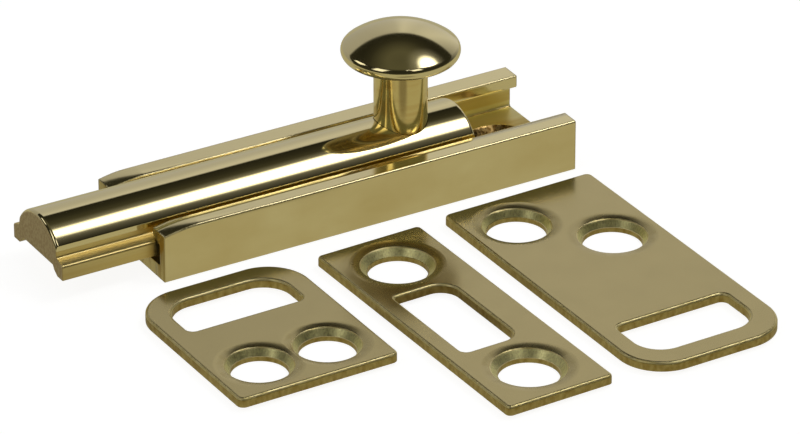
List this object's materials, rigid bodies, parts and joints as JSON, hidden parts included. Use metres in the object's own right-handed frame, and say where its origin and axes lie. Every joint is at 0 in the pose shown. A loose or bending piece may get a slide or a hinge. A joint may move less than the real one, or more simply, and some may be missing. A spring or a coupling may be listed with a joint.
{
  "type": "surface bolt",
  "caption": "Polished brass surface bolt: a round-topped bolt with a mushroom knob slides in a lipped channel, beside its flat strike plates.",
  "frame": {"origin": "middle of the channel's back face, between its two screw holes", "axes": "+Z away from the door, +X along the bolt from its nose to its tail, +Y across"},
  "size_m": [0.0936, 0.0878, 0.0282],
  "materials": {
    "extruded_brass": "polished",
    "turned_brass": "polished",
    "sheet_brass": "satin",
    "screw_brass": "satin",
    "spring_bronze": "satin"
  },
  "bodies": {
    "base": {"base_channel": "extruded_brass"},
    "sliding_bolt": {"bolt": "extruded_brass", "knob": "turned_brass", "knob_screw": "screw_brass", "stop_screw": "screw_brass", "bow_spring": "spring_bronze"},
    "short_plate": {"short_strike": "sheet_brass"},
    "narrow_plate": {"narrow_strike": "sheet_brass"},
    "long_plate": {"long_strike": "sheet_brass"}
  },
  "joints": [
    {"name": "bolt_slide", "type": "slide", "parent": "base", "child": "sliding_bolt", "axis": [1, 0, 0], "range_m": [0, 0.03115]},
    {"name": "lift_short_plate", "type": "slide", "parent": "base", "child": "short_plate", "axis": [0, 0, 1], "range_m": [0, 0.02]},
    {"name": "lift_narrow_plate", "type": "slide", "parent": "base", "child": "narrow_plate", "axis": [0, 0, 1], "range_m": [0, 0.02]},
    {"name": "lift_long_plate", "type": "slide", "parent": "base", "child": "long_plate", "axis": [0, 0, 1], "range_m": [0, 0.02]}
  ]
}
